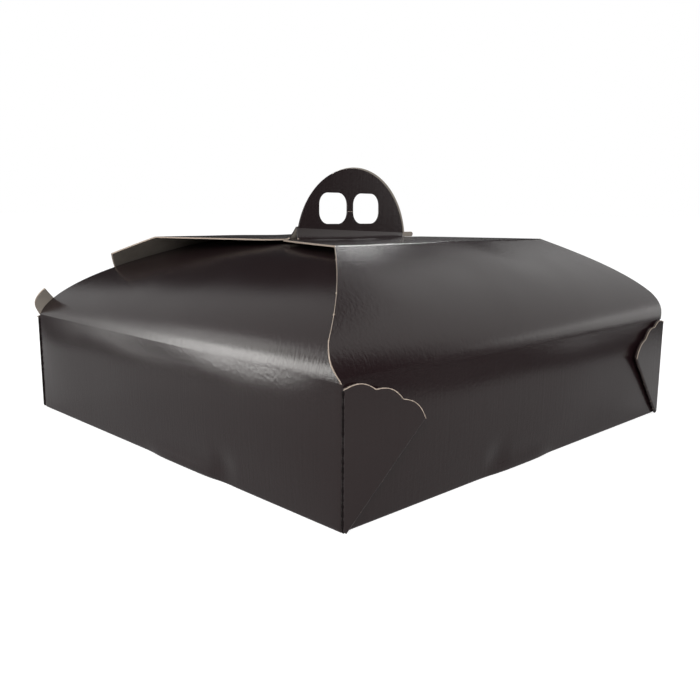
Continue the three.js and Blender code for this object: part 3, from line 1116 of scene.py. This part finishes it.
@dataclass
class TuckFlap:
    """A side flap, tucked in under the carry flaps and twisted flatter to the rear."""

    shop: BoardShop
    side: int
    rows: int = 64
    columns: int = 60

    def rails(self, crease_height: float) -> tuple[Rail, Rail]:
        """The front and rear edges of the flap.

        Args:
            crease_height: Height of the carry flaps' top crease.

        Returns:
            The two rails.
        """
        s = SIZES
        nest = nest_profile()
        ceiling = crease_height - s.board - s.panel_seat
        made = []
        for lean, sign in ((s.tuck_start_front, -1), (s.tuck_start_rear, 1)):
            rail = Rail()
            for point in leaning_profile(s.tuck_length, lean, s.tuck_end, s.tuck_bend, self.rows, s.fold_dip):
                z = settle_under(s.wall + point.rise, ceiling)
                y = sign * (s.half - read_nest(nest, z))
                rail.add(Vector((self.side * (s.half - point.inset), y, z)))
            made.append(rail)
        return tuple(made[::self.side])

    def build(self, crease_height: float) -> Object:
        """Builds the flap under carry flaps with their crease at a height."""
        name = "right_tuck_flap" if self.side > 0 else "left_tuck_flap"
        rails = self.rails(crease_height)
        return self.shop.sheet(name, rails, self.columns, SIZES.tuck_belly, SIZES.tuck_flutter)


def settle_under(height: float, ceiling: float) -> float:
    """A height that rises freely, then settles smoothly under a ceiling."""
    over = height - (ceiling - SIZES.panel_settle)
    return ceiling - SIZES.panel_settle * math.exp(-over / SIZES.panel_settle) if over > 0 else height


def nest_profile(rows: int = 60) -> list[Pair]:
    """Rise and inset of the line at which a board passes just under a carry flap."""
    depth = SIZES.board + SIZES.nest_gap
    arc = carry_profile(rows)
    return [(p.rise - depth * math.sin(p.lean), p.inset + depth * math.cos(p.lean)) for p in arc]


def read_nest(nest: list[Pair], height: float) -> float:
    """Inset of the nest line at a height above the base, in millimetres."""
    rise = max(height - SIZES.wall - SIZES.fold_gap, nest[0][0])
    for (low, low_inset), (high, high_inset) in zip(nest, nest[1:]):
        if rise <= high:
            return low_inset + (rise - low) / (high - low) * (high_inset - low_inset)
    return nest[-1][1]


@dataclass
class Gusset:
    """A corner square folded double on its diagonal, hinged on the corner, its rim scalloped."""

    shop: BoardShop
    lift: float
    flip: int
    turn: float
    steps: int = 60
    fold_steps: int = 8
    columns: int = 24
    layer_gap: float = 0.25
    root_radius: float = 1.2
    underside: float = 0.02
    rim_sunk: float = 0.1
    fold_wear: float = 0.8
    near_wear: float = 0.7
    wear_reach: float = 3.0

    def _fan(self) -> list[Triple]:
        """Angle, offset along the fold and height off the wall, round the outer layer and back."""
        height = 2 * SIZES.board + self.layer_gap
        fan = [(90 - 45 * i / self.steps, 0.0, height) for i in range(self.steps + 1)]
        for i in range(1, self.fold_steps):
            bend = math.pi * i / self.fold_steps
            fan.append((45.0, height / 2 * math.sin(bend), height / 2 + height / 2 * math.cos(bend)))
        fan += [(45 + 45 * i / self.steps, 0.0, 0.0) for i in range(self.steps + 1)]
        return fan

    @staticmethod
    def rim(angle: float) -> float:
        """Radius of the scalloped rim at an angle from the base, in degrees."""
        wave = abs(math.sin((90 - angle) / 45 * SIZES.scallops * math.pi))
        return SIZES.gusset_radius + SIZES.scallop_depth * (wave - 0.5)

    def place(self, radius: float, angle: float, beyond: float, height: float) -> Vector:
        """A point of the gusset in the box's frame.

        Args:
            radius: Distance from the bottom corner.
            angle: Angle from the base, in degrees.
            beyond: Distance past the diagonal fold.
            height: Height off the wall.

        Returns:
            The point, in millimetres.
        """
        tilt = math.radians(angle)
        along = radius * math.cos(tilt) + beyond * math.sin(tilt)
        up = radius * math.sin(tilt) - beyond * math.cos(tilt)
        opening = math.radians(self.lift)
        x = along * math.cos(opening) - height * math.sin(opening)
        y = -along * math.sin(opening) - height * math.cos(opening)
        point = Vector((-SIZES.half + x, -SIZES.half + y, max(up, self.underside)))
        point.x *= self.flip
        point.rotate(Matrix.Rotation(self.turn, 3, "Z"))
        return point

    def build(self, name: str) -> Object:
        """Builds the gusset.

        Args:
            name: Name of the piece.

        Returns:
            The finished piece.
        """
        inner, outer = Rail(), Rail()
        for angle, beyond, height in self._fan():
            near = self.near_wear * wear_near(angle - 45, self.wear_reach)
            for rail, radius in ((inner, self.root_radius), (outer, self.rim(angle))):
                point = self.place(radius, angle, beyond, height)
                rail.add(point, near if beyond == 0 else self.fold_wear)
        piece = self.shop.sheet(name, (outer, inner)[::self.flip], self.columns)
        paint_over_cut(piece.data)
        return piece

    def rim_line(self) -> list[Vector]:
        """The scalloped rim of the outer layer, from the corner to the diagonal fold."""
        height = 2 * SIZES.board + self.layer_gap - self.rim_sunk
        angles = [90 - 45 * i / self.steps for i in range(self.steps + 1)]
        return [self.place(self.rim(angle) - self.rim_sunk, angle, 0.0, height) for angle in angles]


@dataclass(frozen=True)
class Dent:
    """A soft push in or out of one wall; the walls count from the front, counter-clockwise."""

    wall: int
    along: float
    height: float
    half_length: float
    half_height: float
    depth: float

    def push(self, wall: int, along: float, height: float) -> float:
        """Outward push of the dent.

        Args:
            wall: Number of the wall.
            along: Place along the wall, in millimetres from its middle.
            height: Height above the underside.

        Returns:
            The push, in millimetres.
        """
        if wall != self.wall:
            return 0.0
        across = abs((along - self.along) / self.half_length)
        up = (height - self.height) / self.half_height
        return self.depth * math.exp(-across**6 - up * up)


@dataclass
class TrayWalls:
    """The base and the four walls of the tray, one skin folded up all round."""

    shop: BoardShop
    rows: int = 30
    side_columns: int = 64
    base_insets: Pair = (6.0, 1.2)
    bend_rows: int = 6
    corner_steps: int = 6
    corner_round: float = 1.3
    inner_round: float = 0.3
    belly: float = 2.0
    belly_height: float = 42.0
    ripple: float = 0.5
    ripple_waves: float = 2.2
    ripple_height: float = 40.0
    ripple_seed: float = 3.7
    fold_wear: float = 0.55
    near_wear: float = 0.5
    wear_reach: float = 2.0
    sharp_angle: float = 35.0
    dents: tuple[Dent, ...] = (
        Dent(0, -15.4, 1.5, 25.0, 4.0, 1.4),
        Dent(0, -35.0, 9.0, 6.0, 7.0, -1.0),
        Dent(3, 25.6, 1.5, 28.5, 4.0, 1.4),
        Dent(3, 61.0, 9.0, 6.0, 7.0, -1.0),
    )

    def _outward(self, side: int, share: float, height: float, swell: float) -> float:
        """How far a wall stands out of its plane.

        Args:
            side: Number of the wall.
            share: Place along it, from -1 to 1.
            height: Height above the underside.
            swell: Outward swell in the middle of the wall at this height.

        Returns:
            The distance, in millimetres.
        """
        along = share * self.ripple_waves + 5 * side
        place = Vector((along, height / self.ripple_height, self.ripple_seed))
        wave = noise.noise(place) * (1 - share**6)
        out = swell * (1 - share**8) + self.ripple * wave * min(1.0, swell / self.belly * 2)
        return out + sum(dent.push(side, share * SIZES.half, height) for dent in self.dents)

    def _ring(self, inset: float, height: float, swell: float) -> list[Vector]:
        """One level of the ring round the tray.

        Args:
            inset: Inset from the nominal wall face.
            height: Height above the underside.
            swell: Outward swell in the middle of each wall.

        Returns:
            Points round the ring, counter-clockwise from the front left corner.
        """
        corner = max(self.corner_round - inset, self.inner_round)
        reach = SIZES.half - inset
        middle = Vector((reach - corner, -reach + corner, height))
        points = []
        for side in range(4):
            turn = Matrix.Rotation(side * math.pi / 2, 3, "Z")
            for i in range(self.side_columns + 1):
                share = 2 * i / self.side_columns - 1
                out = self._outward(side, share, height, swell)
                points.append(turn @ Vector((share * (reach - corner), -reach - out, height)))
            for i in range(1, self.corner_steps):
                angle = -math.pi / 2 + math.pi / 2 * i / self.corner_steps
                points.append(turn @ (middle + corner * Vector((math.cos(angle), math.sin(angle), 0.0))))
        return points

    def _levels(self) -> list[tuple[float, float, float, float]]:
        """Inset, height, swell and wear of the levels of the outer skin, from the base up."""
        bend = self.corner_round
        levels = [(bend + inset, 0.0, 0.0, 0.0) for inset in self.base_insets]
        for i in range(self.bend_rows + 1):
            angle = math.pi / 2 * i / self.bend_rows
            levels.append((bend * (1 - math.sin(angle)), bend * (1 - math.cos(angle)), 0.0, self.fold_wear))
        for i in range(1, self.rows + 1):
            height = bend + (SIZES.wall - bend) * i / self.rows
            if height < self.belly_height:
                swell = self.belly * math.sin(math.pi / 2 * height / self.belly_height)
            else:
                over = (height - self.belly_height) / (SIZES.wall - self.belly_height)
                swell = self.belly * math.cos(math.pi / 2 * over)
            levels.append((0.0, height, swell, self.near_wear * wear_near(height - bend, self.wear_reach)))
        return levels

    def build(self) -> Object:
        """Builds the walls and the base.

        Returns:
            The finished piece.
        """
        board = SIZES.board
        levels = self._levels()
        outer = [self._ring(inset, height, swell) for inset, height, swell, _ in levels]
        inner = [
            self._ring(inset + board, max(height, board) if inset == 0 else height + board, swell)
            for inset, height, swell, _ in levels
        ]
        inner[-1] = [Vector((point.x, point.y, SIZES.wall)) for point in inner[-1]]
        rings = outer + inner[::-1]
        count = len(outer[0])
        faces = [tuple(range(count - 1, -1, -1))]
        for start in range(0, (len(rings) - 1) * count, count):
            for i in range(count):
                j = (i + 1) % count
                faces.append((start + i, start + j, start + count + j, start + count + i))
        last = (len(rings) - 1) * count
        faces.append(tuple(range(last, last + count)))
        outside_faces = 1 + len(outer) * count
        looks = [Face.OUTSIDE] * outside_faces + [Face.INSIDE] * (len(faces) - outside_faces)
        piece = mesh_object("tray_walls", [point for ring in rings for point in ring], [], faces)
        data = piece.data
        set_materials(data, *self.shop.board_looks)
        data.polygons.foreach_set("material_index", looks)
        store_wear(data, [level[3] for level in levels for _ in range(count)] + [0.0] * (len(inner) * count))
        data.shade_smooth()
        data.set_sharp_from_angle(angle=math.radians(self.sharp_angle))
        return piece

    def corner_lines(self) -> list[list[Vector]]:
        """The upright folds of the four corners, where the board is perforated."""
        inset, proud, low, shorter, steps = 0.3, 0.75, 1.5, 5, 30
        along, across = SIZES.half - inset, SIZES.half + proud
        heights = [low + (SIZES.wall - shorter) * i / steps for i in range(steps + 1)]
        corners = [(x, y) for x in (-along, along) for y in (-across, across)]
        return [[Vector((x, y, height)) for height in heights] for x, y in corners]


@dataclass(frozen=True)
class PhotoCamera:
    """The camera solved from the box's corners in the photo, metres and degrees."""

    place: Triple = (-0.3402, -0.3484, 0.1261)
    heading: float = 45.573
    dip: float = 10.105
    roll: float = 0.394
    focal_pixels: float = 770.22
    frame_pixels: float = 700.0
    sensor: float = 36.0

    def build(self) -> None:
        """Makes the camera and sets it as the scene's."""
        data = bpy.data.cameras.new("photo_camera")
        data.sensor_width = self.sensor
        data.lens = self.sensor * self.focal_pixels / self.frame_pixels
        data.clip_start = 0.01
        camera = add_object("photo_camera", data)
        az, dip, roll = (math.radians(value) for value in (self.heading, self.dip, self.roll))
        look = Vector((math.cos(dip) * math.cos(az), math.cos(dip) * math.sin(az), -math.sin(dip)))
        right = Vector((math.sin(az), -math.cos(az), 0.0))
        up = right.cross(look)
        right_rolled = right * math.cos(roll) + up * math.sin(roll)
        up_rolled = up * math.cos(roll) - right * math.sin(roll)
        turn = Matrix((right_rolled, up_rolled, -look)).transposed().to_4x4()
        camera.matrix_world = Matrix.Translation(self.place) @ turn
        bpy.context.scene.camera = camera


@dataclass(frozen=True)
class Softbox:
    """A wide area lamp aimed at a point, in metres and watts."""

    name: str
    place: Triple
    width: float
    height: float
    watts: float
    aim: Triple = (0.0, 0.0, 0.06)

    def build(self) -> None:
        """Makes the lamp."""
        data = bpy.data.lights.new(self.name, "AREA")
        data.shape = "RECTANGLE"
        data.size = self.width
        data.size_y = self.height
        data.energy = self.watts
        lamp = add_object(self.name, data)
        lamp.location = self.place
        aim = Vector(self.aim) - Vector(self.place)
        lamp.rotation_mode = "QUATERNION"
        lamp.rotation_quaternion = aim.to_track_quat("-Z", "Y")


@dataclass
class Studio:
    """A white paper floor, soft lamps, and a white surround that darkens overhead."""

    ambient: float = 0.25
    overhead: float = 0.03
    white_below: float = -0.03
    dark_above: float = 0.05
    paper_size: float = 60000.0
    paper_reach: float = 0.42
    paper_fade: float = 0.62
    paper_near: float = 0.6
    paper_far: float = 0.12
    lift_reach: float = 0.3
    lift_fade: float = 0.7
    lift_near: float = 0.7
    softboxes: tuple[Softbox, ...] = (
        Softbox("left_softbox", (-0.5, 1.18, 0.85), 1.3, 1.7, 4.4),
        Softbox("left_card_low", (-0.93, 0.90, 0.22), 0.42, 0.34, 3.7),
        Softbox("left_card_middle", (-0.76, 0.98, 0.48), 0.36, 0.36, 0.9),
        Softbox("right_softbox", (1.25, -0.3, 0.80), 1.6, 1.1, 4.5),
        Softbox("right_card_low", (1.15, -0.61, 0.22), 0.5, 0.24, 0.5),
        Softbox("right_strip", (0.87, 0.68, 0.75), 0.35, 0.14, 1.6),
        Softbox("front_softbox", (-0.85, -0.95, 0.65), 0.8, 0.8, 18.0),
    )

    def build(self) -> None:
        """Sets up the world, the lamps and the floor."""
        scene = bpy.context.scene
        scene.view_settings.view_transform = "Standard"
        scene.world = self._world()
        for softbox in self.softboxes:
            softbox.build()
        self._floor()

    def _world(self) -> bpy.types.World:
        """Makes the world: white where the camera looks, and for glossy rays white low and dark overhead.

        Returns:
            The world.
        """
        world = bpy.data.worlds.new("studio")
        world.use_nodes = True
        tree = NodeTree(world.node_tree)
        place = tree.node("ShaderNodeTexCoord").outputs["Generated"]
        height = tree.node("ShaderNodeSeparateXYZ", {0: place}).outputs["Z"]
        shown = tree.fade(height, self.white_below, self.dark_above, 1.0, self.overhead)
        glossy = tree.node("ShaderNodeLightPath").outputs["Is Glossy Ray"]
        strength = tree.mix(tree.seen(), tree.mix(glossy, self.ambient, shown), 1.0)
        tree.plug(world.node_tree.nodes["Background"], {"Strength": strength, "Color": (1, 1, 1, 1)})
        return world

    def _floor(self) -> None:
        """Makes the paper floor, lifted to white for the camera so that only the shadow shows."""
        reach = self.paper_size / 2
        signs = ((-1, -1), (1, -1), (1, 1), (-1, 1))
        corners = [Vector((x * reach, y * reach, 0)) for x, y in signs]
        floor = mesh_object("floor", corners, [], [(0, 1, 2, 3)])
        tree = MaterialTree("pale_floor")
        distance = tree.node("ShaderNodeVectorMath", {0: tree.place}, operation="LENGTH").outputs["Value"]
        paper = tree.fade(distance, self.paper_reach, self.paper_fade, self.paper_near, self.paper_far)
        lift = tree.fade(distance, self.lift_reach, self.lift_fade, self.lift_near, 1.0)
        floor.data.materials.append(tree.shade({
            "Base Color": tree.value("ShaderNodeCombineColor", {0: paper, 1: paper, 2: paper}),
            "Roughness": 0.9,
            "Specular IOR Level": 0.0,
            "Emission Color": (1, 1, 1, 1),
            "Emission Strength": tree.math("MULTIPLY", tree.seen(), lift),
        }))


def finish_piece(piece: Object, body: str, *nodes: str) -> None:
    """Rides a piece on a body and reports it.

    Args:
        piece: The finished piece.
        body: Name of the body it moves with.
        nodes: CAD nodes that it stands for.
    """
    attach(piece, body)
    if nodes:
        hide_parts(*nodes)
    LOG.info("%s on %s: %d faces", piece.name, body, len(piece.data.polygons))


def main() -> None:
    """Builds the box on its frame, in order."""
    logging.basicConfig(level=logging.INFO, format="%(name)s: %(message)s")
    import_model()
    PhotoCamera().build()
    Studio().build()
    shop = BoardShop(
        LaminateFinish().material("brown_laminate"),
        BARE_BOARD.material("bare_board"),
        CUT_EDGE.material("cut_edge"),
        PERFORATION.material("perforation"),
        GRIP_RIM_PAINTED_HIGHLIGHT.material("grip_rim_painted_highlight"),
        RuledBoardTree(),
        RepeatedMarkTree(),
    )
    walls = TrayWalls(shop)
    finish_piece(walls.build(), "tray", "tray")
    front = CarryFlap(shop, 1)
    rear = CarryFlap(shop, -1)
    for side in (-1, 1):
        finish_piece(TuckFlap(shop, side).build(front.crease_height), "tray")
    rims = []
    for name, lift, flip, turn in (
        ("front_left_gusset", SIZES.lift_left, 1, 0.0),
        ("front_right_gusset", SIZES.lift_right, -1, 0.0),
        ("rear_right_gusset", SIZES.lift_left, 1, math.pi),
        ("rear_left_gusset", SIZES.lift_right, -1, math.pi),
    ):
        gusset = Gusset(shop, lift, flip, turn)
        finish_piece(gusset.build(name), "tray")
        rims.append(gusset.rim_line())
    finish_piece(shop.marks("gusset_rims", rims, RIM_MARKS, shop.cut), "tray")
    score = shop.marks("corner_perforations", walls.corner_lines(), SCORE_MARKS, shop.perforation)
    finish_piece(score, "tray")
    finish_piece(front.build(), "front_flap", "front_flap")
    finish_piece(rear.build(), "rear_flap", "rear_flap")
    finish_piece(shop.marks("front_edge_nicks", front.nick_lines(), NICK_MARKS, shop.cut), "front_flap")
    finish_piece(shop.marks("grip_bar_crease", [front.bar_crease()], CREASE_MARKS, shop.cut), "front_flap")


if __name__ == "__main__":
    main()
